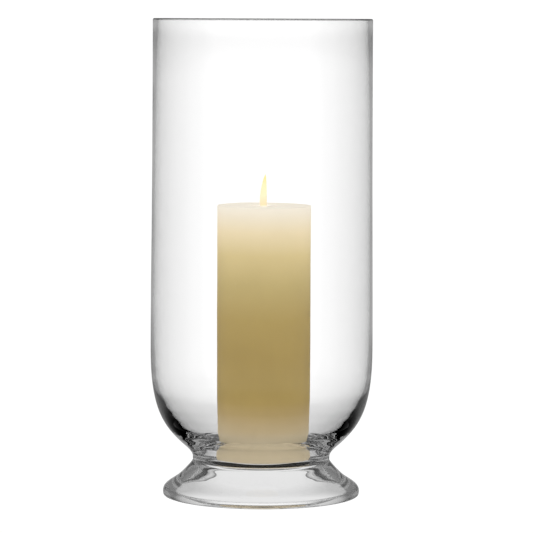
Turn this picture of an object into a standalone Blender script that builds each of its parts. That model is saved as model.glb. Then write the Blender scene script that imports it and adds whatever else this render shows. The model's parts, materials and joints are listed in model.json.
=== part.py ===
"""Hurricane candle lantern: a clear blown-glass hurricane whose bowl stands on a
hollow, hot-joined glass foot, with a burning pillar candle in the well at the
bottom of the bowl.

Units are metres and +Z is up. The origin is the centre of the foot's underside,
on the plane that the lantern stands on.
"""
import bpy
import bmesh
import math

# ------------------------------------------------------------ glass, outside
HEIGHT = 0.3810                    # foot underside to rim
RIM_R = 0.0875                     # outside radius at the rim
BELLY_R = 0.0889                   # largest outside radius
BELLY_Z = 0.1170                   # height of the largest radius
FLANK_R, FLANK_Z = 0.0647, 0.0431  # middle of the straightest part of the flank
FLANK_ANGLE = math.radians(43.3)
NECK_R, NECK_Z = 0.0549, 0.0309    # waist between bowl and foot
SEAM_Z = 0.0285                    # bowl and foot are joined on this plane
FLARE_R, FLARE_Z = 0.0638, 0.0173  # middle of the straightest part of the foot
FLARE_ANGLE = math.radians(44.8)
FOOT_R, FOOT_Z = 0.0788, 0.0030    # widest ring of the foot

# ------------------------------------------------------------- glass, inside
LIP_R = 0.0014                     # rounding of the fire-polished rim
RIM_WALL = 0.0040                  # wall at the rim
FLOOR_Z = 0.0275                   # top of the floor that the candle stands on
FLOOR_R = 0.0393                   # flat part of that floor
WELL = ((0.0418, 0.0285), (0.0452, 0.0322), (0.0482, 0.0368),
        (0.0512, 0.0408), (0.0550, 0.0446))          # wall of the candle's well
SHOULDER = ((0.0598, 0.0486), (0.0655, 0.0535), (0.0705, 0.0592),
            (0.0750, 0.0662), (0.0776, 0.0714))      # thick lower wall
INNER_WALL = ((0.0808, 0.0797), (0.0842, 0.0919), (0.0861, 0.1070),
              (0.0867, 0.1290), (0.0864, 0.1900), (0.0857, 0.2900))
BOSS_R = 0.0476                    # underside of the floor, inside the foot
BOSS_Z = 0.0242
FOOT_WALL = ((0.0483, 0.0246), (0.0510, 0.0200), (0.0553, 0.0148),
             (0.0600, 0.0100), (0.0640, 0.0062),
             (0.0665, 0.0032))                       # hollow under the foot
CONTACT_IN_R = 0.0690              # flat ring that the lantern stands on
CONTACT_OUT_R = 0.0776
COLLAR_IN_R = 0.0480               # foot's opening round the floor's underside

# -------------------------------------------------------------------- candle
GAP = 0.0003                       # clearance between pieces that touch
CANDLE_D = 0.0750
CANDLE_H = 0.2049
CANDLE_X = 0.0017                  # the candle stands slightly off centre
EDGE_R = 0.0008                    # soft edge of the wax
DISH_R = 0.0150                    # shallow burn dish round the wick
DISH_DEPTH = 0.0012
BORE_R = 0.0016                    # wick hole through the wax
WICK_R = 0.0012
WICK_OUT = 0.0070                  # wick showing above the wax
WICK_LEAN = 0.0012                 # its tip curls this far to one side
TAB_R, TAB_T = 0.0100, 0.0006      # sustainer's disc
COLLAR_R, COLLAR_H = 0.0022, 0.0050  # sustainer's crimped collar

STEPS = 48                         # facets round the glass
WAX_STEPS = 36
SMALL_STEPS = 20


# ------------------------------------------------------------------- helpers
def clear_scene():
    for obj in list(bpy.data.objects):
        bpy.data.objects.remove(obj, do_unlink=True)


def make_collection(name):
    coll = bpy.data.collections.new(name)
    bpy.context.scene.collection.children.link(coll)
    return coll


def make_material(name, colour, roughness, metallic=0.0, transmission=0.0, ior=1.45):
    mat = bpy.data.materials.new(name)
    mat.use_nodes = True
    bsdf = mat.node_tree.nodes["Principled BSDF"]
    bsdf.inputs["Base Color"].default_value = (*colour, 1.0)
    bsdf.inputs["Roughness"].default_value = roughness
    bsdf.inputs["Metallic"].default_value = metallic
    bsdf.inputs["Transmission Weight"].default_value = transmission
    bsdf.inputs["IOR"].default_value = ior
    return mat


def bezier(p0, p1, p2, p3, count):
    """Points of a cubic Bezier curve in the r-z plane, both ends included."""
    pts = []
    for i in range(count + 1):
        t = i / count
        a, b = (1 - t) ** 3, 3 * (1 - t) ** 2 * t
        c, d = 3 * (1 - t) * t * t, t ** 3
        pts.append((a * p0[0] + b * p1[0] + c * p2[0] + d * p3[0],
                    a * p0[1] + b * p1[1] + c * p2[1] + d * p3[1]))
    return pts


def smooth_through(stations, per_span):
    """Catmull-Rom curve through the stations, per_span points to each span."""
    s = [(2 * stations[0][0] - stations[1][0], 2 * stations[0][1] - stations[1][1])]
    s += list(stations)
    s += [(2 * s[-1][0] - s[-2][0], 2 * s[-1][1] - s[-2][1])]
    pts = []
    for k in range(1, len(s) - 2):
        for i in range(per_span):
            t = i / per_span
            pts.append(tuple(
                0.5 * (2 * s[k][j] + (s[k + 1][j] - s[k - 1][j]) * t
                       + (2 * s[k - 1][j] - 5 * s[k][j] + 4 * s[k + 1][j] - s[k + 2][j]) * t * t
                       + (3 * s[k][j] - s[k - 1][j] - 3 * s[k + 1][j] + s[k + 2][j]) * t ** 3)
                for j in (0, 1)))
    pts.append(stations[-1])
    return pts


def arc(centre, radius, start, end, count):
    """Points of a circular arc, angles in degrees from +r towards +z."""
    pts = []
    for i in range(count + 1):
        a = math.radians(start + (end - start) * i / count)
        pts.append((centre[0] + radius * math.cos(a), centre[1] + radius * math.sin(a)))
    return pts


def join(*runs):
    """Runs of profile points end to end, without doubled points."""
    pts = []
    for run in runs:
        for p in run:
            if not pts or math.hypot(p[0] - pts[-1][0], p[1] - pts[-1][1]) > 1e-5:
                pts.append((p[0], p[1]))
    return pts


def turned(name, profile, mat, coll, steps, closed=False, angle=30.0):
    """Turn a profile in the r-z plane about Z with a Screw modifier. The profile
    runs down its outer side."""
    mesh = bpy.data.meshes.new(name)
    edges = [(i, i + 1) for i in range(len(profile) - 1)]
    if closed:
        edges.append((len(profile) - 1, 0))
    mesh.from_pydata([(r, 0.0, z) for r, z in profile], edges, [])
    obj = bpy.data.objects.new(name, mesh)
    coll.objects.link(obj)
    mesh.materials.append(mat)
    screw = obj.modifiers.new("turn", 'SCREW')
    screw.axis = 'Z'
    screw.angle = 2 * math.pi
    screw.steps = steps
    screw.render_steps = steps
    screw.use_merge_vertices = True
    screw.merge_threshold = 0.0001
    screw.use_smooth_shade = True
    return obj


# --------------------------------------------------------------------- glass
def bowl_outside():
    """Outer side of the bowl, from the rim down to the seam."""
    ca, sa = math.cos(FLANK_ANGLE), math.sin(FLANK_ANGLE)
    side = bezier((RIM_R, HEIGHT - LIP_R), (RIM_R, HEIGHT - 0.150),
                  (BELLY_R, BELLY_Z + 0.055), (BELLY_R, BELLY_Z), 9)
    flank = bezier((BELLY_R, BELLY_Z), (BELLY_R, BELLY_Z - 0.0460),
                   (FLANK_R + 0.0204 * ca, FLANK_Z + 0.0204 * sa), (FLANK_R, FLANK_Z), 11)
    neck = bezier((FLANK_R, FLANK_Z), (FLANK_R - 0.0035 * ca, FLANK_Z - 0.0035 * sa),
                  (NECK_R, NECK_Z + 0.0044), (NECK_R, NECK_Z), 5)
    return join(side, flank, neck, [(NECK_R + 0.0001, SEAM_Z)])


def bowl_inside():
    """Inner side of the bowl, from the middle of the floor up to the rim."""
    top_r = RIM_R - RIM_WALL
    well = ((FLOOR_R, FLOOR_Z),) + WELL + SHOULDER + INNER_WALL[:1]
    wall = INNER_WALL + ((top_r + 0.0004, HEIGHT - 0.0150), (top_r, HEIGHT - LIP_R))
    return join([(0.0, FLOOR_Z)], smooth_through(well, 2), wall)


def make_bowl(mat, coll):
    top_r = RIM_R - RIM_WALL
    lip = join(arc((top_r + LIP_R, HEIGHT - LIP_R), LIP_R, 180, 90, 3),
               arc((RIM_R - LIP_R, HEIGHT - LIP_R), LIP_R, 90, 0, 3))
    under = [(COLLAR_IN_R + 0.0002, SEAM_Z), (BOSS_R, SEAM_Z - 0.0006),
             (BOSS_R, BOSS_Z + 0.0008), (BOSS_R - 0.0009, BOSS_Z), (0.0, BOSS_Z)]
    return turned("glass_bowl", join(bowl_inside(), lip, bowl_outside(), under),
                  mat, coll, STEPS)


def make_foot(mat, coll):
    cb, sb = math.cos(FLARE_ANGLE), math.sin(FLARE_ANGLE)
    top = SEAM_Z - GAP
    flare = bezier((NECK_R, top), (NECK_R + 0.0008, top - 0.0024),
                   (FLARE_R - 0.0078 * cb, FLARE_Z + 0.0078 * sb), (FLARE_R, FLARE_Z), 6)
    edge = bezier((FLARE_R, FLARE_Z), (FLARE_R + 0.0103 * cb, FLARE_Z - 0.0103 * sb),
                  (FOOT_R, FOOT_Z + 0.0062), (FOOT_R, FOOT_Z), 7)
    round_off = bezier((FOOT_R, FOOT_Z), (FOOT_R, 0.0010),
                       (FOOT_R - 0.0003, 0.0), (CONTACT_OUT_R, 0.0), 4)
    hollow = smooth_through(tuple(reversed(FOOT_WALL)), 1)
    profile = join([(COLLAR_IN_R + 0.0002, top), (NECK_R, top)], flare, edge, round_off,
                   [(CONTACT_IN_R, 0.0), (CONTACT_IN_R - 0.0006, 0.0012)], hollow,
                   [(COLLAR_IN_R, SEAM_Z - GAP - 0.0006)])
    return turned("glass_foot", profile, mat, coll, STEPS, closed=True)


# -------------------------------------------------------------------- candle
def make_candle(root, wax_mat, wick_mat, tab_mat, coll):
    base = FLOOR_Z + GAP
    top = base + CANDLE_H
    r = CANDLE_D / 2
    pocket_r, pocket_t = TAB_R + GAP, TAB_T + GAP
    sleeve_r, sleeve_h = COLLAR_R + GAP, COLLAR_H + 2 * GAP
    profile = join(
        [(BORE_R, top - DISH_DEPTH), (DISH_R * 0.55, top - DISH_DEPTH * 0.85),
         (DISH_R * 0.85, top - DISH_DEPTH * 0.35), (DISH_R, top)],
        [(r - 0.0060, top)], arc((r - EDGE_R, top - EDGE_R), EDGE_R, 90, 0, 3),
        arc((r - EDGE_R, base + EDGE_R), EDGE_R, 0, -90, 3),
        [(pocket_r, base), (pocket_r, base + pocket_t), (sleeve_r, base + pocket_t),
         (sleeve_r, base + sleeve_h), (BORE_R, base + sleeve_h)])
    wax = turned("candle_wax", profile, wax_mat, coll, WAX_STEPS, closed=True)

    # the braided wick, straight through the wax with a curled tip
    curve = bpy.data.curves.new("wick", 'CURVE')
    curve.dimensions = '3D'
    curve.bevel_depth = WICK_R
    curve.bevel_resolution = 2
    curve.use_fill_caps = True
    spline = curve.splines.new('POLY')
    dish = top - DISH_DEPTH
    points = [(0.0, base + 0.0010), (0.0, base + 0.0060), (0.0, base + 0.0300),
              (0.0, (base + top) / 2), (0.0, top - 0.0300), (0.0, dish - 0.0004)]
    curl = 6
    for i in range(1, curl + 1):
        t = i / curl
        points.append((WICK_LEAN * t * t, dish + (WICK_OUT + DISH_DEPTH) * t))
    spline.points.add(len(points) - 1)
    for p, (x, z) in zip(spline.points, points):
        p.co = (x, 0.0, z, 1.0)
    wick = bpy.data.objects.new("wick", curve)
    coll.objects.link(wick)
    curve.materials.append(wick_mat)

    # the pressed sustainer: a disc with a collar crimped round the wick's foot
    inner = BORE_R
    tab = turned("wick_sustainer",
                 [(inner, base + COLLAR_H), (COLLAR_R, base + COLLAR_H),
                  (COLLAR_R, base + TAB_T + 0.0004), (COLLAR_R + 0.0005, base + TAB_T),
                  (TAB_R, base + TAB_T), (TAB_R, base + 0.0001), (inner, base + 0.0001)],
                 tab_mat, coll, SMALL_STEPS, closed=True)
    for obj in (wax, wick, tab):
        obj.parent = root
    return wax, wick, tab


def main():
    clear_scene()
    coll = make_collection("hurricane_candle_lantern")
    glass = make_material("clear_glass", (0.95, 0.97, 0.97), 0.02,
                          transmission=1.0, ior=1.5)
    wax_mat = make_material("ivory_wax", (0.86, 0.74, 0.50), 0.45)
    wick_mat = make_material("braided_cotton", (0.78, 0.72, 0.60), 0.90)
    tab_mat = make_material("tinned_steel", (0.68, 0.69, 0.70), 0.35, metallic=1.0)

    make_bowl(glass, coll)
    make_foot(glass, coll)

    # the candle lifts out along Z, so its pieces hang on one empty on that line
    lift = bpy.data.objects.new("candle_lift", None)
    lift.empty_display_size = 0.03
    lift.location = (CANDLE_X, 0.0, 0.0)
    coll.objects.link(lift)
    make_candle(lift, wax_mat, wick_mat, tab_mat, coll)
    bpy.context.view_layer.update()


main()
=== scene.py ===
import bpy
import bmesh
import json
import math
import random
from mathutils import Matrix, Vector, noise

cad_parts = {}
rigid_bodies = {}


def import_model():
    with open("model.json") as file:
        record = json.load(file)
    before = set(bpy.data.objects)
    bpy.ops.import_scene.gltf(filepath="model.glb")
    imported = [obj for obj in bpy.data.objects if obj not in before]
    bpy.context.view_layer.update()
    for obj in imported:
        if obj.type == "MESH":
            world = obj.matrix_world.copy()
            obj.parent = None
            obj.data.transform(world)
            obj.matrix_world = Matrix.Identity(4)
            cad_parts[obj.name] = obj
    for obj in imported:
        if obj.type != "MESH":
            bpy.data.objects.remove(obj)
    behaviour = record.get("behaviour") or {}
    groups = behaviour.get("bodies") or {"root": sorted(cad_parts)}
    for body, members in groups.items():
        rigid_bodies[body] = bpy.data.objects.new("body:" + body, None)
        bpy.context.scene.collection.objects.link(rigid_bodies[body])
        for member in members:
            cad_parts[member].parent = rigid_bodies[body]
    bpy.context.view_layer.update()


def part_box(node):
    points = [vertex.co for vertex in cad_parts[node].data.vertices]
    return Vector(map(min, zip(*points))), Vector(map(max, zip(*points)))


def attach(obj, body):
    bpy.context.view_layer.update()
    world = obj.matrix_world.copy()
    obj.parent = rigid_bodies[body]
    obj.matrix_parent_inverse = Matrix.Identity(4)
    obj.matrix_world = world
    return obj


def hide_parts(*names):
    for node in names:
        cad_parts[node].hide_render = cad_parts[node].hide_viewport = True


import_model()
random.seed(7)
noise.seed_set(7)

scene = bpy.context.scene
bowl_lo, bowl_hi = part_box("glass_bowl")
foot_lo, foot_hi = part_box("glass_foot")
wax_lo, wax_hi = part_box("candle_wax")
wick_lo, wick_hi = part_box("wick")
tab_lo, tab_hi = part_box("wick_sustainer")

# ------------------------------------------------------------- dimensions
# The turned profiles repeat the CAD model's design, at a finer pitch.
HEIGHT = bowl_hi.z
BELLY_R = bowl_hi.x
RIM_R = 0.0875
BELLY_Z = 0.1170
FLANK_R, FLANK_Z, FLANK_ANGLE = 0.0647, 0.0431, math.radians(43.3)
NECK_R, NECK_Z = 0.0549, 0.0309
SEAM_Z = 0.0285
FLARE_R, FLARE_Z, FLARE_ANGLE = 0.0638, 0.0173, math.radians(44.8)
FOOT_R, FOOT_Z = foot_hi.x, 0.0030
GAP = 0.0003
LIP_R = 0.0014
RIM_WALL = 0.0040
FLOOR_Z = wax_lo.z - GAP
WAX_R = (wax_hi.x - wax_lo.x) / 2
WAX_X = (wax_hi.x + wax_lo.x) / 2
WAX_TOP = wax_hi.z
WAX_BASE = wax_lo.z


# ---------------------------------------------------------------- helpers
def bezier(p0, p1, p2, p3, count):
    pts = []
    for i in range(count + 1):
        t = i / count
        a, b, c, d = (1 - t) ** 3, 3 * (1 - t) ** 2 * t, 3 * (1 - t) * t * t, t ** 3
        pts.append((a * p0[0] + b * p1[0] + c * p2[0] + d * p3[0],
                    a * p0[1] + b * p1[1] + c * p2[1] + d * p3[1]))
    return pts


def smooth_through(st, per_span):
    """Centripetal Catmull-Rom curve through (r, z) stations."""
    s = [Vector((2 * st[0][0] - st[1][0], 2 * st[0][1] - st[1][1]))]
    s += [Vector(p) for p in st]
    s += [2 * s[-1] - s[-2]]
    pts = []
    for k in range(1, len(s) - 2):
        p0, p1, p2, p3 = s[k - 1:k + 3]
        t0 = 0.0
        t1 = t0 + (p1 - p0).length ** 0.5
        t2 = t1 + (p2 - p1).length ** 0.5
        t3 = t2 + (p3 - p2).length ** 0.5
        for i in range(per_span):
            t = t1 + (t2 - t1) * i / per_span
            a1 = p0 * ((t1 - t) / (t1 - t0)) + p1 * ((t - t0) / (t1 - t0))
            a2 = p1 * ((t2 - t) / (t2 - t1)) + p2 * ((t - t1) / (t2 - t1))
            a3 = p2 * ((t3 - t) / (t3 - t2)) + p3 * ((t - t2) / (t3 - t2))
            b1 = a1 * ((t2 - t) / (t2 - t0)) + a2 * ((t - t0) / (t2 - t0))
            b2 = a2 * ((t3 - t) / (t3 - t1)) + a3 * ((t - t1) / (t3 - t1))
            c = b1 * ((t2 - t) / (t2 - t1)) + b2 * ((t - t1) / (t2 - t1))
            pts.append((c.x, c.y))
    pts.append(tuple(st[-1]))
    return pts


def arc(cx, cz, radius, start, end, count):
    return [(cx + radius * math.cos(math.radians(start + (end - start) * i / count)),
             cz + radius * math.sin(math.radians(start + (end - start) * i / count)))
            for i in range(count + 1)]


def join(*runs):
    pts = []
    for run in runs:
        for p in run:
            if not pts or math.hypot(p[0] - pts[-1][0], p[1] - pts[-1][1]) > 2e-6:
                pts.append((p[0], p[1]))
    return pts


def lathe(name, profile, material, steps, centre=(0.0, 0.0), closed=False, shape=None,
          sharp=None):
    """A turned mesh. shape(r, z, angle) may return a slightly moved (r, z)."""
    bm = bmesh.new()
    rings = []
    for r, z in profile:
        if r < 1e-6:
            rings.append([bm.verts.new((centre[0], centre[1], z))])
            continue
        ring = []
        for k in range(steps):
            a = 2 * math.pi * k / steps
            rr, zz = shape(r, z, a) if shape else (r, z)
            ring.append(bm.verts.new((centre[0] + rr * math.cos(a),
                                      centre[1] + rr * math.sin(a), zz)))
        rings.append(ring)
    pairs = list(zip(rings[:-1], rings[1:]))
    if closed:
        pairs.append((rings[-1], rings[0]))
    for a, b in pairs:
        for k in range(steps):
            n = (k + 1) % steps
            if len(a) == 1 and len(b) == 1:
                continue
            if len(a) == 1:
                bm.faces.new((a[0], b[k], b[n]))
            elif len(b) == 1:
                bm.faces.new((a[k], b[0], a[n]))
            else:
                bm.faces.new((a[k], b[k], b[n], a[n]))
    bmesh.ops.recalc_face_normals(bm, faces=bm.faces)
    mesh = bpy.data.meshes.new(name)
    bm.to_mesh(mesh)
    bm.free()
    mesh.shade_smooth()
    if sharp is not None:
        mesh.set_sharp_from_angle(angle=math.radians(sharp))
    mesh.materials.append(material)
    obj = bpy.data.objects.new(name, mesh)
    scene.collection.objects.link(obj)
    return obj


class Nodes:
    """Short hand for building a node tree."""

    def __init__(self, tree):
        self.t = tree
        self.t.nodes.clear()

    def add(self, kind, **values):
        n = self.t.nodes.new(kind)
        for k, v in values.items():
            if hasattr(n, k):
                setattr(n, k, v)
        return n

    def link(self, a, b):
        self.t.links.new(a, b)

    def math(self, op, a, b=None, clamp=False):
        n = self.t.nodes.new("ShaderNodeMath")
        n.operation = op
        n.use_clamp = clamp
        for i, v in enumerate((a, b)):
            if v is None:
                continue
            if isinstance(v, (int, float)):
                n.inputs[i].default_value = v
            else:
                self.link(v, n.inputs[i])
        return n.outputs[0]

    def ramp(self, fac, stops, interpolation='LINEAR'):
        n = self.t.nodes.new("ShaderNodeValToRGB")
        n.color_ramp.interpolation = interpolation
        e = n.color_ramp.elements
        while len(e) > 1:
            e.remove(e[-1])
        e[0].position = stops[0][0]
        e[0].color = (*stops[0][1], 1.0)
        for pos, col in stops[1:]:
            el = e.new(pos)
            el.color = (*col, 1.0)
        self.link(fac, n.inputs[0])
        return n.outputs[0]

    def mix(self, fac, a, b, kind='MIX'):
        n = self.t.nodes.new("ShaderNodeMix")
        n.data_type = 'RGBA'
        n.blend_type = kind
        for socket, v in ((n.inputs[0], fac), (n.inputs[6], a), (n.inputs[7], b)):
            if isinstance(v, (int, float)):
                socket.default_value = v
            elif isinstance(v, tuple):
                socket.default_value = (*v, 1.0)
            else:
                self.link(v, socket)
        return n.outputs[2]


def grey(v):
    return (v, v, v)


def srgb(r, g, b):
    """sRGB bytes to linear."""
    out = []
    for c in (r, g, b):
        c /= 255.0
        out.append(c / 12.92 if c <= 0.04045 else ((c + 0.055) / 1.055) ** 2.4)
    return tuple(out)


# ----------------------------------------------------------------- materials
def glass_material(name, stops, lip=None):
    mat = bpy.data.materials.new(name)
    mat.use_nodes = True
    n = Nodes(mat.node_tree)
    out = n.add("ShaderNodeOutputMaterial")
    b = n.add("ShaderNodeBsdfPrincipled")
    # painted shade: the base colour greys where the glass is seen edge on, standing in for the dark
    # surroundings the glass reflects there
    slant = n.add("ShaderNodeLayerWeight")
    slant.inputs["Blend"].default_value = 0.5
    painted_shade = n.ramp(slant.outputs["Facing"], stops)
    if lip:
        # painted shade: the rolled lip's base colour darkens to near black at its top, painted in for the
        # dark line the rim shows as it looks down the whole height of the wall
        sep = n.add("ShaderNodeSeparateXYZ")
        n.link(n.add("ShaderNodeTexCoord").outputs["Object"], sep.inputs[0])
        up_lip = n.math('DIVIDE', n.math('SUBTRACT', sep.outputs[2], lip[0]), lip[1] - lip[0])
        edge = n.ramp(up_lip, [(0.0, grey(1.0)), (0.3, grey(0.45)), (0.7, grey(0.05)), (1.0, grey(0.02))])
        painted_shade = n.mix(1.0, painted_shade, edge, 'MULTIPLY')
    n.link(painted_shade, b.inputs["Base Color"])
    b.inputs["Roughness"].default_value = 0.0
    b.inputs["IOR"].default_value = 1.5
    b.inputs["Transmission Weight"].default_value = 1.0
    n.link(b.outputs[0], out.inputs[0])
    return mat


def wax_material():
    mat = bpy.data.materials.new("ivory_wax_look")
    mat.use_nodes = True
    n = Nodes(mat.node_tree)
    out = n.add("ShaderNodeOutputMaterial")
    b = n.add("ShaderNodeBsdfPrincipled")
    coord = n.add("ShaderNodeTexCoord").outputs["Object"]
    sep = n.add("ShaderNodeSeparateXYZ")
    n.link(coord, sep.inputs[0])
    # height up the candle, 0 at the base and 1 at the top
    h = n.math('DIVIDE', n.math('SUBTRACT', sep.outputs[2], WAX_BASE), WAX_TOP - WAX_BASE)
    # wax colour by height, partly painted light: the ramp pales towards the top and the base
    base = n.ramp(h, WAX_TONE_AND_LIGHT_RAMP)
    cloud = n.add("ShaderNodeTexNoise")
    cloud.inputs["Scale"].default_value = 28.0
    cloud.inputs["Detail"].default_value = 3.0
    n.link(coord, cloud.inputs["Vector"])
    tone = n.ramp(cloud.outputs["Fac"], [(0.30, (0.955, 0.950, 0.93)), (0.70, (1.03, 1.03, 1.03))])
    col = n.mix(1.0, base, tone, 'MULTIPLY')
    # frost specks in the wax
    speck = n.add("ShaderNodeTexVoronoi")
    speck.inputs["Scale"].default_value = 210.0
    n.link(coord, speck.inputs["Vector"])
    dot = n.math('LESS_THAN', speck.outputs["Distance"], 0.10)
    rare = n.add("ShaderNodeTexNoise")
    rare.inputs["Scale"].default_value = 60.0
    n.link(coord, rare.inputs["Vector"])
    dot = n.math('MULTIPLY', dot, n.math('GREATER_THAN', rare.outputs["Fac"], 0.62))
    col = n.mix(n.math('MULTIPLY', dot, 0.25), col, (0.80, 0.72, 0.52))
    n.link(col, b.inputs["Base Color"])
    b.inputs["Roughness"].default_value = 0.5
    b.inputs["Specular IOR Level"].default_value = 0.2
    b.inputs["IOR"].default_value = 1.44
    # fine bump: handling marks and mould texture
    fine = n.add("ShaderNodeTexNoise")
    fine.inputs["Scale"].default_value = 420.0
    fine.inputs["Detail"].default_value = 4.0
    n.link(coord, fine.inputs["Vector"])
    bump = n.add("ShaderNodeBump")
    bump.inputs["Strength"].default_value = 0.10
    bump.inputs["Distance"].default_value = 0.0004
    n.link(fine.outputs["Fac"], bump.inputs["Height"])
    n.link(bump.outputs[0], b.inputs["Normal"])
    # painted glow: emission standing in for flame light inside the wax, strongest at the top, and for light
    # piped up through the glass base at the bottom
    glow = n.ramp(h, GLOW_RAMP)
    n.link(glow, b.inputs["Emission Color"])
    b.inputs["Emission Strength"].default_value = 1.0
    n.link(b.outputs[0], out.inputs[0])
    return mat


# wax colour by height: partly the wax's own tone and partly painted light, paler near the top from the
# flame and at the base from light piped up through the glass foot
WAX_TONE_AND_LIGHT_RAMP = [(0.0, srgb(179, 165, 137)), (0.08, srgb(180, 166, 137)), (0.125, srgb(188, 170, 132)),
            (0.18, srgb(188, 163, 110)), (0.23, srgb(190, 164, 100)), (0.28, srgb(185, 159, 92)),
            (0.42, srgb(181, 154, 83)), (0.56, srgb(193, 166, 94)), (0.70, srgb(191, 170, 110)),
            (0.81, srgb(191, 172, 124)), (0.90, srgb(190, 177, 149)), (1.0, srgb(179, 173, 160))]
# painted glow: emission by height, for flame light near the top and light from the glass base at the bottom
GLOW_RAMP = [(0.0, (0.32, 0.27, 0.185)), (0.08, (0.31, 0.26, 0.175)), (0.125, (0.19, 0.145, 0.085)),
             (0.18, (0.07, 0.053, 0.03)), (0.23, (0.0, 0.0, 0.0)), (0.56, (0.0, 0.0, 0.0)),
             (0.70, (0.12, 0.095, 0.04)), (0.81, (0.28, 0.225, 0.10)), (0.90, (0.46, 0.375, 0.22)),
             (1.0, (0.61, 0.56, 0.48))]

# painted shade: these stops grey the glass base colour towards edge-on views, most strongly in the foot,
# and the lip range paints the rim dark
bowl_glass = glass_material("bowl_glass_look", [(0.0, grey(1.0)), (0.10, grey(0.992)), (0.18, grey(0.935)),
                                               (0.30, grey(0.895)), (0.48, grey(0.885)),
                                               (0.62, grey(0.90)), (0.75, grey(0.95)), (1.0, grey(0.98))],
                            lip=(HEIGHT - 1.3 * LIP_R, HEIGHT))
foot_glass = glass_material("foot_glass_look", [(0.0, (1.0, 1.0, 1.0)), (0.28, (0.985, 0.985, 0.985)),
                                               (0.40, (0.72, 0.72, 0.72)), (0.52, (0.42, 0.42, 0.42)),
                                               (0.70, (0.52, 0.52, 0.52)), (1.0, (0.80, 0.80, 0.80))])
wax = wax_material()


# --------------------------------------------------------------------- glass
def bowl_profile():
    ca, sa = math.cos(FLANK_ANGLE), math.sin(FLANK_ANGLE)
    top_r = RIM_R - RIM_WALL
    inside = ((0.0, FLOOR_Z), (0.0200, FLOOR_Z), (0.0385, FLOOR_Z + 0.0001), (0.0418, 0.0285),
              (0.0452, 0.0322), (0.0482, 0.0368), (0.0512, 0.0408), (0.0550, 0.0446),
              (0.0598, 0.0486), (0.0656, 0.0534), (0.0709, 0.0589), (0.0756, 0.0657),
              (0.0783, 0.0707), (0.0803, 0.0752), (0.0830, 0.0833), (0.0846, 0.0916),
              (0.0855, 0.0999), (0.0861, 0.1085), (0.0866, 0.1250), (0.0867, 0.1550),
              (0.0864, 0.2200), (0.0856, 0.3000), (0.0846, 0.3500),
              (top_r + 0.0002, HEIGHT - 0.0080), (top_r, HEIGHT - LIP_R))
    inner = smooth_through(inside, 8)
    lip = join(arc(top_r + LIP_R, HEIGHT - LIP_R, LIP_R, 180, 90, 8),
               arc(RIM_R - LIP_R, HEIGHT - LIP_R, LIP_R, 90, 0, 8))
    side = bezier((RIM_R, HEIGHT - LIP_R), (RIM_R, HEIGHT - 0.150),
                  (BELLY_R, BELLY_Z + 0.055), (BELLY_R, BELLY_Z), 40)
    flank = bezier((BELLY_R, BELLY_Z), (BELLY_R, BELLY_Z - 0.0460),
                   (FLANK_R + 0.0204 * ca, FLANK_Z + 0.0204 * sa), (FLANK_R, FLANK_Z), 48)
    neck = bezier((FLANK_R, FLANK_Z), (FLANK_R - 0.0035 * ca, FLANK_Z - 0.0035 * sa),
                  (NECK_R, NECK_Z + 0.0044), (NECK_R, NECK_Z), 16)
    under = [(NECK_R, 0.0292), (NECK_R - 0.0002, SEAM_Z + 0.0001), (NECK_R - 0.0006, SEAM_Z)]
    under += [(0.0480, SEAM_Z), (0.0477, SEAM_Z - 0.0004), (0.0476, 0.0252), (0.0470, 0.0245),
              (0.0460, 0.0242), (0.0300, 0.0242), (0.0, 0.0242)]
    return join(inner, lip, side, flank, neck, under)


def foot_profile():
    cb, sb = math.cos(FLARE_ANGLE), math.sin(FLARE_ANGLE)
    top = SEAM_Z - GAP
    flare = bezier((NECK_R - 0.0003, top), (NECK_R + 0.0008, top - 0.0024),
                   (FLARE_R - 0.0078 * cb, FLARE_Z + 0.0078 * sb), (FLARE_R, FLARE_Z), 16)
    edge = bezier((FLARE_R, FLARE_Z), (FLARE_R + 0.0103 * cb, FLARE_Z - 0.0103 * sb),
                  (FOOT_R, FOOT_Z + 0.0062), (FOOT_R, FOOT_Z), 20)
    round_off = bezier((FOOT_R, FOOT_Z), (FOOT_R, 0.0010), (FOOT_R - 0.0003, 0.0),
                       (0.0776, 0.0), 10)
    hollow = smooth_through(((0.0690, 0.0001), (0.0682, 0.0010), (0.0665, 0.0032), (0.0640, 0.0062),
                             (0.0600, 0.0100), (0.0553, 0.0148), (0.0510, 0.0200),
                             (0.0484, 0.0245)), 8)
    return join([(0.0484, top), (NECK_R - 0.0006, top)], flare, edge, round_off, hollow)


def blown(r, z, angle):
    """Hand-blown glass: the inner wall wanders by a few tenths of a millimetre."""
    if not 0.105 < z < HEIGHT - 0.010:
        return r, z
    outer = outer_radius(z)
    if outer - r < 0.0008:
        return r, z
    fade = min(1.0, (z - 0.105) / 0.04, (HEIGHT - 0.010 - z) / 0.02)
    low = noise.noise(Vector((1.4 * math.cos(angle), 1.4 * math.sin(angle), z * 16.0)))
    ring = noise.noise(Vector((0.6 * math.cos(angle), 0.6 * math.sin(angle), z * 60.0 + 9.0)))
    return r + fade * (0.00022 * low + 0.00008 * ring), z


def outer_radius(z):
    for (r0, z0), (r1, z1) in zip(OUTSIDE[:-1], OUTSIDE[1:]):
        if z1 <= z <= z0:
            t = (z - z0) / (z1 - z0) if z1 != z0 else 0.0
            return r0 + t * (r1 - r0)
    return OUTSIDE[-1][0]


OUTSIDE = [p for p in bowl_profile() if p[0] > 0.0549]
OUTSIDE = OUTSIDE[max(range(len(OUTSIDE)), key=lambda i: OUTSIDE[i][1]):]
bowl = lathe("bowl_glass", bowl_profile(), bowl_glass, 160, shape=blown)
foot = lathe("foot_glass", foot_profile(), foot_glass, 160, closed=True)
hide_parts("glass_bowl")
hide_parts("glass_foot")
for piece in (bowl, foot):
    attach(piece, "glass")

# -------------------------------------------------------------------- candle
EDGE = 0.0006


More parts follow.
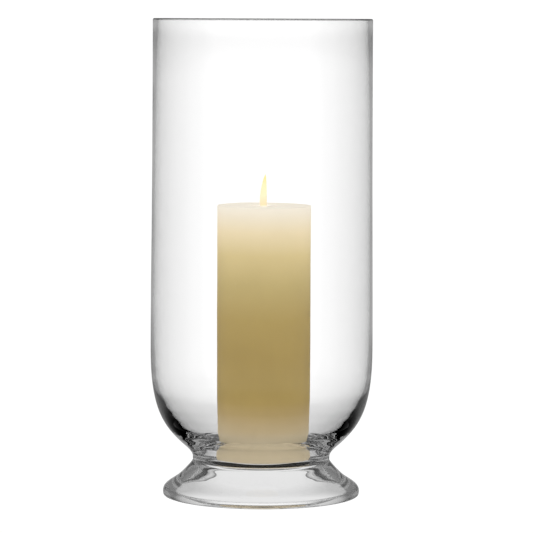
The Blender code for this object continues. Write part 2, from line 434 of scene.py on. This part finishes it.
def wax_shape(r, z, angle):
    """A poured pillar: slightly uneven top, with faint dents up its side."""
    k = min(1.0, max(0.0, (r - 0.010) / 0.015))
    if z > WAX_TOP - 0.004 and r > 0.010:
        z -= k * 0.00022 * (1.0 + noise.noise(Vector((1.1 * math.cos(angle), 1.1 * math.sin(angle), 3.0))))
    if r > WAX_R - EDGE - 1e-5 and WAX_BASE + 0.004 < z < WAX_TOP - 0.002:
        n1 = noise.noise(Vector((2.2 * math.cos(angle), 2.2 * math.sin(angle), z * 30.0)))
        n2 = noise.noise(Vector((9.0 * math.cos(angle), 9.0 * math.sin(angle), z * 150.0 + 5.0)))
        r -= 0.00010 + 0.00008 * n1 + 0.00003 * n2
    return r, z


WAX_SIDE = [(WAX_R, WAX_TOP - EDGE - (WAX_TOP - WAX_BASE - 2 * EDGE) * k / 64) for k in range(1, 64)]
DISH_R, DISH_DEPTH = 0.0150, 0.0012
candle = lathe("candle_wax_fine", join(
    [(0.0016, WAX_TOP - DISH_DEPTH), (0.0050, WAX_TOP - DISH_DEPTH * 0.97)],
    [(DISH_R * t, WAX_TOP - DISH_DEPTH * (0.5 + 0.5 * math.cos(math.pi * (t - 0.33) / 0.67)))
     for t in (0.42, 0.52, 0.62, 0.72, 0.82, 0.92, 1.0)],
    [(0.0200, WAX_TOP), (0.0270, WAX_TOP), (0.0325, WAX_TOP)],
    arc(WAX_R - EDGE, WAX_TOP - EDGE, EDGE, 90, 0, 6), WAX_SIDE,
    arc(WAX_R - EDGE, WAX_BASE + EDGE, EDGE, 0, -90, 6),
    [(0.0103, WAX_BASE), (0.0103, WAX_BASE + 0.0009), (0.0025, WAX_BASE + 0.0009),
     (0.0025, WAX_BASE + 0.0056), (0.0016, WAX_BASE + 0.0056)]),
    wax, 144, centre=(WAX_X, 0.0), closed=True, shape=wax_shape, sharp=50)
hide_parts("candle_wax")
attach(candle, "candle")


# three cotton plies braided round one another, curling over at the tip
def wick_centre(z):
    t = max(0.0, (z - (WAX_TOP - DISH_DEPTH)) / (wick_hi.z - (WAX_TOP - DISH_DEPTH)))
    return WAX_X + 0.0012 * t * t


def braid(name, material):
    bm = bmesh.new()
    low, high = wick_lo.z, wick_hi.z - 0.0001
    count, sides = 520, 8
    for ply in range(3):
        rings = []
        for i in range(count + 1):
            z = low + (high - low) * i / count
            phase = 2 * math.pi * (z - low) / 0.0042 + 2 * math.pi * ply / 3
            taper = 1.0 - 0.45 * max(0.0, (z - (high - 0.0016)) / 0.0016)
            cx = wick_centre(z) + 0.00052 * taper * math.sin(phase)
            cy = 0.00052 * taper * math.sin(2 * phase) * 0.8
            rr = 0.00056 * taper
            rings.append([bm.verts.new((cx + rr * math.cos(2 * math.pi * k / sides),
                                        cy + rr * math.sin(2 * math.pi * k / sides), z))
                          for k in range(sides)])
        for a, b in zip(rings[:-1], rings[1:]):
            for k in range(sides):
                bm.faces.new((a[k], a[(k + 1) % sides], b[(k + 1) % sides], b[k]))
        bm.faces.new(list(reversed(rings[0])))
        bm.faces.new(rings[-1])
    bmesh.ops.recalc_face_normals(bm, faces=bm.faces)
    mesh = bpy.data.meshes.new(name)
    bm.to_mesh(mesh)
    bm.free()
    mesh.shade_smooth()
    mesh.set_sharp_from_angle(angle=math.radians(60))
    mesh.materials.append(material)
    obj = bpy.data.objects.new(name, mesh)
    scene.collection.objects.link(obj)
    return obj


def cotton_material():
    mat = bpy.data.materials.new("braided_cotton_look")
    mat.use_nodes = True
    n = Nodes(mat.node_tree)
    out = n.add("ShaderNodeOutputMaterial")
    b = n.add("ShaderNodeBsdfPrincipled")
    coord = n.add("ShaderNodeTexCoord").outputs["Object"]
    sep = n.add("ShaderNodeSeparateXYZ")
    n.link(coord, sep.inputs[0])
    up_wick = n.math('DIVIDE', n.math('SUBTRACT', sep.outputs[2], WAX_TOP - DISH_DEPTH),
                     wick_hi.z - WAX_TOP + DISH_DEPTH)
    fibre = n.add("ShaderNodeTexNoise")
    fibre.inputs["Scale"].default_value = 2600.0
    n.link(coord, fibre.inputs["Vector"])
    wander = n.math('ADD', up_wick, n.math('MULTIPLY', n.math('SUBTRACT', fibre.outputs["Fac"], 0.5), 0.25))
    # waxed and pale at the foot, scorched, then charred, with a glowing end
    col = n.ramp(wander, [(0.0, (0.70, 0.62, 0.46)), (0.15, (0.45, 0.33, 0.18)),
                          (0.35, (0.06, 0.045, 0.035)), (1.0, (0.015, 0.013, 0.012))])
    n.link(col, b.inputs["Base Color"])
    b.inputs["Roughness"].default_value = 0.9
    bump = n.add("ShaderNodeBump")
    bump.inputs["Strength"].default_value = 0.5
    bump.inputs["Distance"].default_value = 0.0002
    n.link(fibre.outputs["Fac"], bump.inputs["Height"])
    n.link(bump.outputs[0], b.inputs["Normal"])
    ember = n.ramp(wander, [(0.0, (0, 0, 0)), (0.86, (0, 0, 0)), (1.0, (1.0, 0.22, 0.03))])
    n.link(ember, b.inputs["Emission Color"])
    b.inputs["Emission Strength"].default_value = 1.4
    n.link(b.outputs[0], out.inputs[0])
    return mat


wick = braid("wick_braided", cotton_material())
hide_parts("wick")
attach(wick, "candle")


# the pressed steel sustainer keeps its CAD shape
def steel_material():
    mat = bpy.data.materials.new("tinned_steel_look")
    mat.use_nodes = True
    n = Nodes(mat.node_tree)
    out = n.add("ShaderNodeOutputMaterial")
    b = n.add("ShaderNodeBsdfPrincipled")
    coord = n.add("ShaderNodeTexCoord").outputs["Object"]
    spangle = n.add("ShaderNodeTexVoronoi")
    spangle.inputs["Scale"].default_value = 900.0
    n.link(coord, spangle.inputs["Vector"])
    grain = n.add("ShaderNodeTexNoise")
    grain.inputs["Scale"].default_value = 1800.0
    grain.inputs["Detail"].default_value = 4.0
    n.link(coord, grain.inputs["Vector"])
    n.link(n.ramp(spangle.outputs["Distance"], [(0.0, (0.72, 0.72, 0.71)), (1.0, (0.55, 0.56, 0.57))]),
           b.inputs["Base Color"])
    n.link(n.ramp(grain.outputs["Fac"], [(0.3, grey(0.24)), (0.7, grey(0.42))]), b.inputs["Roughness"])
    b.inputs["Metallic"].default_value = 1.0
    n.link(b.outputs[0], out.inputs[0])
    return mat


steel = steel_material()
for obj in bpy.data.objects:
    if obj.type == 'MESH' and obj.name.split(".")[0] == "wick_sustainer":
        for slot in obj.material_slots:
            slot.material = steel


# a thin pool of clear molten wax in the dish round the wick
def molten_material():
    mat = bpy.data.materials.new("molten_wax_look")
    mat.use_nodes = True
    n = Nodes(mat.node_tree)
    out = n.add("ShaderNodeOutputMaterial")
    b = n.add("ShaderNodeBsdfPrincipled")
    coord = n.add("ShaderNodeTexCoord").outputs["Object"]
    ripple = n.add("ShaderNodeTexNoise")
    ripple.inputs["Scale"].default_value = 160.0
    n.link(coord, ripple.inputs["Vector"])
    n.link(n.ramp(ripple.outputs["Fac"], [(0.3, (0.48, 0.42, 0.32)), (0.7, (0.53, 0.47, 0.37))]),
           b.inputs["Base Color"])
    b.inputs["Roughness"].default_value = 0.06
    b.inputs["IOR"].default_value = 1.43
    # painted light: the pool glows by emission, standing in for the flame lighting it
    b.inputs["Emission Color"].default_value = (1.0, 0.93, 0.80, 1.0)
    b.inputs["Emission Strength"].default_value = 0.56
    n.link(b.outputs[0], out.inputs[0])
    return mat


pool_top = WAX_TOP - DISH_DEPTH * 0.40
pool = lathe("molten_pool", join(
    [(0.0019, pool_top + 0.00025), (0.0024, pool_top + 0.00008), (0.0034, pool_top), (0.0080, pool_top),
     (0.0100, pool_top - 0.00001), (0.0107, pool_top - 0.00004)],
    [(0.0100, pool_top - 0.00020), (0.0070, pool_top - 0.00050), (0.0019, pool_top - 0.00055)]),
    molten_material(), 96, centre=(WAX_X, 0.0), closed=True)
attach(pool, "candle")


# the flame: nested soft-edged shells of light, drawn up from the wick
def flame_material(name, alpha, stops, strength):
    mat = bpy.data.materials.new(name)
    mat.use_nodes = True
    n = Nodes(mat.node_tree)
    out = n.add("ShaderNodeOutputMaterial")
    coord = n.add("ShaderNodeTexCoord").outputs["Object"]
    sep = n.add("ShaderNodeSeparateXYZ")
    n.link(coord, sep.inputs[0])
    h = n.math('DIVIDE', n.math('SUBTRACT', sep.outputs[2], FLAME_BASE), FLAME_TOP - FLAME_BASE)
    em = n.add("ShaderNodeEmission")
    n.link(n.ramp(h, stops), em.inputs[0])
    em.inputs[1].default_value = strength
    if alpha >= 1.0:
        n.link(em.outputs[0], out.inputs[0])
        return mat
    clear = n.add("ShaderNodeBsdfTransparent")
    mx = n.add("ShaderNodeMixShader")
    mx.inputs[0].default_value = alpha
    n.link(clear.outputs[0], mx.inputs[1])
    n.link(em.outputs[0], mx.inputs[2])
    n.link(mx.outputs[0], out.inputs[0])
    return mat


FLAME_BASE = WAX_TOP - 0.0006
FLAME_TOP = FLAME_BASE + 0.0252
# left and right edges of the flame, across from the wick, going up
FLAME = ((0.0000, -0.0030, 0.0018), (0.0020, -0.0033, 0.0019), (0.0045, -0.0034, 0.0020),
         (0.0080, -0.0032, 0.0020), (0.0120, -0.0027, 0.0019), (0.0160, -0.0020, 0.0018),
         (0.0200, -0.0011, 0.0016), (0.0225, -0.0003, 0.0014), (0.0243, 0.0004, 0.0012),
         (0.0252, 0.0008, 0.0009))


def flame_shell(name, grow, material):
    left = smooth_through([(l, h) for h, l, r in FLAME], 4)
    right = smooth_through([(r, h) for h, l, r in FLAME], 4)
    bm = bmesh.new()
    rings = []
    top = FLAME[-1][0]
    for (l, h), (r, _) in zip(left, right):
        cx, rad = (l + r) / 2, max((r - l) / 2 * grow, 0.00006)
        z = FLAME_BASE + (h if h < top * 0.5 else top * 0.5 + (h - top * 0.5) * (1 + (grow - 1) * 0.12))
        rings.append([bm.verts.new((WAX_X + cx + rad * math.cos(2 * math.pi * k / 32),
                                    rad * 0.85 * math.sin(2 * math.pi * k / 32), z)) for k in range(32)])
    for a, b in zip(rings[:-1], rings[1:]):
        for k in range(32):
            bm.faces.new((a[k], a[(k + 1) % 32], b[(k + 1) % 32], b[k]))
    bm.faces.new(list(reversed(rings[0])))
    bm.faces.new(rings[-1])
    bmesh.ops.recalc_face_normals(bm, faces=bm.faces)
    mesh = bpy.data.meshes.new(name)
    bm.to_mesh(mesh)
    bm.free()
    mesh.shade_smooth()
    mesh.materials.append(material)
    obj = bpy.data.objects.new(name, mesh)
    scene.collection.objects.link(obj)
    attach(obj, "candle")
    return obj


FLAME_STOPS = [(0.0, srgb(255, 232, 184)), (0.18, srgb(255, 238, 194)), (0.32, srgb(255, 249, 204)),
               (0.70, srgb(255, 247, 190)), (0.90, srgb(255, 241, 160)), (1.0, srgb(255, 236, 150))]
flame_shell("flame_glow", 1.16, flame_material("flame_glow_look", 0.22, FLAME_STOPS, 1.07))
flame_shell("flame_mantle", 1.0, flame_material("flame_mantle_look", 0.55, FLAME_STOPS, 1.07))
flame_shell("flame_core", 0.84, flame_material("flame_core_look", 1.0, FLAME_STOPS, 1.07))

# ------------------------------------------------------------ stage and light
world = bpy.data.worlds.new("studio")
scene.world = world
world.use_nodes = True
n = Nodes(world.node_tree)
out = n.add("ShaderNodeOutputWorld")
direction = n.add("ShaderNodeTexCoord").outputs["Generated"]
sep = n.add("ShaderNodeSeparateXYZ")
n.link(direction, sep.inputs[0])
up = n.math('MULTIPLY', n.math('ADD', sep.outputs[2], 1.0), 0.5)


def at(deg):
    return (math.sin(math.radians(deg)) + 1.0) * 0.5


through = n.ramp(up, [(at(-90), grey(0.0)), (at(-42), grey(0.0)), (at(-30), grey(0.45)),
                      (at(-20), grey(1.0)), (at(0.5), grey(1.0)), (at(4), grey(0.88)),
                      (at(10), grey(0.74)), (at(18), grey(0.30)), (at(32), grey(0.04)),
                      (at(90), grey(0.02))])
mirror = n.ramp(up, [(at(-90), grey(0.0)), (at(-32), grey(0.0)), (at(-27), grey(0.02)),
                     (at(-22), grey(0.12)), (at(-17), grey(0.34)), (at(-9), grey(0.38)),
                     (at(0.3), grey(0.42)), (at(4), grey(0.22)), (at(16), grey(0.25)), (at(26), grey(0.60)),
                     (at(70), grey(0.75))])
# light caught in the thick glass: dark below the horizon, half lit above it
deep = n.ramp(up, [(at(-90), grey(0.015)), (at(-15), grey(0.015)), (at(-9), grey(0.36)),
                   (at(10), grey(0.40)), (at(14), grey(0.50)), (at(28), grey(0.50)),
                   (at(36), grey(0.33)), (at(58), grey(0.33)), (at(66), grey(0.42)),
                   (at(90), grey(0.42))])
bounce = n.ramp(up, [(at(-90), grey(0.75)), (at(0), grey(1.0)), (at(30), grey(1.0)),
                     (at(55), grey(0.50)), (at(90), grey(0.38))])
path = n.add("ShaderNodeLightPath")


def background(colour, strength):
    bg = n.add("ShaderNodeBackground")
    if isinstance(colour, tuple):
        bg.inputs[0].default_value = (*colour, 1.0)
    else:
        n.link(colour, bg.inputs[0])
    bg.inputs[1].default_value = strength
    return bg.outputs[0]


def either(test, no, yes):
    mx = n.add("ShaderNodeMixShader")
    n.link(test, mx.inputs[0])
    n.link(no, mx.inputs[1])
    n.link(yes, mx.inputs[2])
    return mx.outputs[0]


# straight through the glass the studio is bright; what the glass mirrors is dimmer
mirrored = n.math('GREATER_THAN', path.outputs["Glossy Depth"], 0.5)
lit = n.math('GREATER_THAN', path.outputs["Diffuse Depth"], 0.5)
trapped = n.math('GREATER_THAN', path.outputs["Glossy Depth"], 2.5)
look = either(mirrored, background(through, 1.18), background(mirror, 1.0))
look = either(trapped, look, background(deep, 1.0))
look = either(lit, look, background(bounce, 1.5))
look = either(path.outputs["Is Camera Ray"], look, background((1.0, 1.0, 1.0), 1.05))
n.link(look, out.inputs[0])

floor_mat = bpy.data.materials.new("white_floor")
floor_mat.use_nodes = True
n = Nodes(floor_mat.node_tree)
out = n.add("ShaderNodeOutputMaterial")
path = n.add("ShaderNodeLightPath")


def emission(colour, strength):
    em = n.add("ShaderNodeEmission")
    if isinstance(colour, tuple):
        em.inputs[0].default_value = (*colour, 1.0)
    else:
        n.link(colour, em.inputs[0])
    em.inputs[1].default_value = strength
    return em.outputs[0]


# the table round the foot is shaded by the object, and brightens further out
place = n.add("ShaderNodeTexCoord").outputs["Object"]
span = n.add("ShaderNodeVectorMath", operation='LENGTH')
n.link(place, span.inputs[0])
away = n.math('MULTIPLY', span.outputs["Value"], 0.5)
near = n.ramp(away, [(0.0, grey(0.68)), (0.08, grey(0.69)), (0.13, grey(0.80)),
                     (0.19, grey(0.93)), (0.32, grey(1.0)), (0.75, grey(1.0))])
mirrored = n.math('GREATER_THAN', path.outputs["Glossy Depth"], 0.5)
lit = n.math('GREATER_THAN', path.outputs["Diffuse Depth"], 0.5)
look = either(mirrored, emission(near, 1.18), n.add("ShaderNodeBsdfTransparent").outputs[0])
look = either(lit, look, emission(grey(1.0), 1.15))
look = either(path.outputs["Is Camera Ray"], look, emission(grey(1.0), 1.05))
n.link(look, out.inputs[0])
bm = bmesh.new()
bmesh.ops.create_grid(bm, x_segments=1, y_segments=1, size=6.0)
me = bpy.data.meshes.new("floor")
bm.to_mesh(me)
bm.free()
me.materials.append(floor_mat)
floor = bpy.data.objects.new("floor", me)
floor.location = (0.0, 0.0, -0.0004)
scene.collection.objects.link(floor)

# -------------------------------------------------------------------- camera
cam_data = bpy.data.cameras.new("camera")
cam_data.lens = 200.0
cam_data.sensor_width = 36.0
cam_data.clip_start = 0.05
cam_data.clip_end = 50.0
camera = bpy.data.objects.new("camera", cam_data)
scene.collection.objects.link(camera)
camera.location = (0.0, -2.36, HEIGHT)
camera.rotation_mode = 'XYZ'
TILT = math.radians(4.788)
PAN = 4.6 / 2961.0
ROLL = math.radians(0.25)
camera.rotation_euler = (math.pi / 2 - TILT, 0.0, -PAN)
camera.rotation_euler = (camera.rotation_euler.to_matrix()
                         @ Matrix.Rotation(ROLL, 3, 'Z')).to_euler()
scene.camera = camera

scene.view_settings.view_transform = 'Standard'
scene.view_settings.look = 'None'
scene.cycles.max_bounces = 24
scene.cycles.transmission_bounces = 24
scene.cycles.glossy_bounces = 16
scene.cycles.diffuse_bounces = 4
scene.cycles.transparent_max_bounces = 24
scene.cycles.caustics_reflective = True
scene.cycles.caustics_refractive = True
scene.cycles.use_denoising = True
